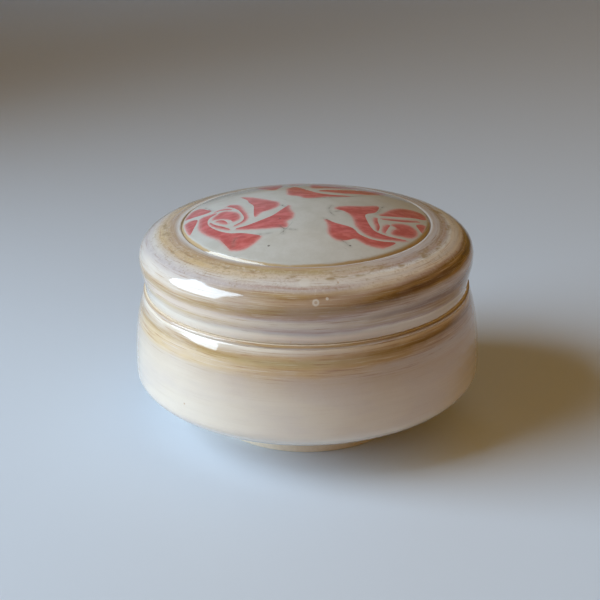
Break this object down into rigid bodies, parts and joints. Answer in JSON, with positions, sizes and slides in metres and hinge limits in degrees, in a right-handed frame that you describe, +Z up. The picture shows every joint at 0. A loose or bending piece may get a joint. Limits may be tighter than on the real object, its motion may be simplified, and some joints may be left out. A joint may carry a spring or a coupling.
{
  "type": "porcelain trinket box",
  "caption": "Round lidded porcelain trinket box on a foot ring, with a lift-off lid and an inlaid domed panel of coloured clay roses.",
  "frame": {"origin": "centre of the foot ring's underside, on the surface that the box stands on", "axes": "+Z up along the axis the box was thrown on, +X to the right and -Y to the front of the rose panel"},
  "size_m": [0.1024, 0.1024, 0.066],
  "materials": {
    "glaze": "glossy, white with a tan and lilac band",
    "panel_clay": "glossy",
    "slice_clay": "glossy",
    "pink_clay": "glossy",
    "heart_clay": "glossy"
  },
  "bodies": {
    "bowl": {"bowl": "glaze"},
    "lid": {"lid": "glaze", "panel": "panel_clay", "left_rose_slice": "slice_clay", "right_rose_slice": "slice_clay", "back_rose_slice": "slice_clay", "left_rose_heart": "heart_clay", "left_rose_heart_fold": "heart_clay", "left_rose_heart_cap": "pink_clay", "left_rose_inner_line": "pink_clay", "left_rose_inner_ring": "pink_clay", "left_rose_top_petal": "pink_clay", "left_rose_right_petal": "pink_clay", "left_rose_swirl_petal": "pink_clay", "left_rose_left_petal": "pink_clay", "left_rose_corner_petal": "pink_clay", "right_rose_heart": "heart_clay", "right_rose_heart_fold": "heart_clay", "right_rose_inner_line": "pink_clay", "right_rose_outer_line": "pink_clay", "right_rose_edge_petal": "pink_clay", "right_rose_upper_petal": "pink_clay", "right_rose_swirl_petal": "pink_clay", "right_rose_lower_petal": "pink_clay", "back_rose_heart": "heart_clay", "back_rose_heart_fold": "heart_clay", "back_rose_inner_petal": "pink_clay", "back_rose_front_petal": "pink_clay", "back_rose_lobed_petal": "pink_clay", "back_rose_left_petal": "pink_clay", "back_rose_far_petal": "pink_clay", "back_rose_right_petal": "pink_clay"}
  },
  "joints": [
    {"name": "lid_lift", "type": "slide", "parent": "bowl", "child": "lid", "axis": [0, 0, 1], "range_m": [0, 0.08]}
  ]
}
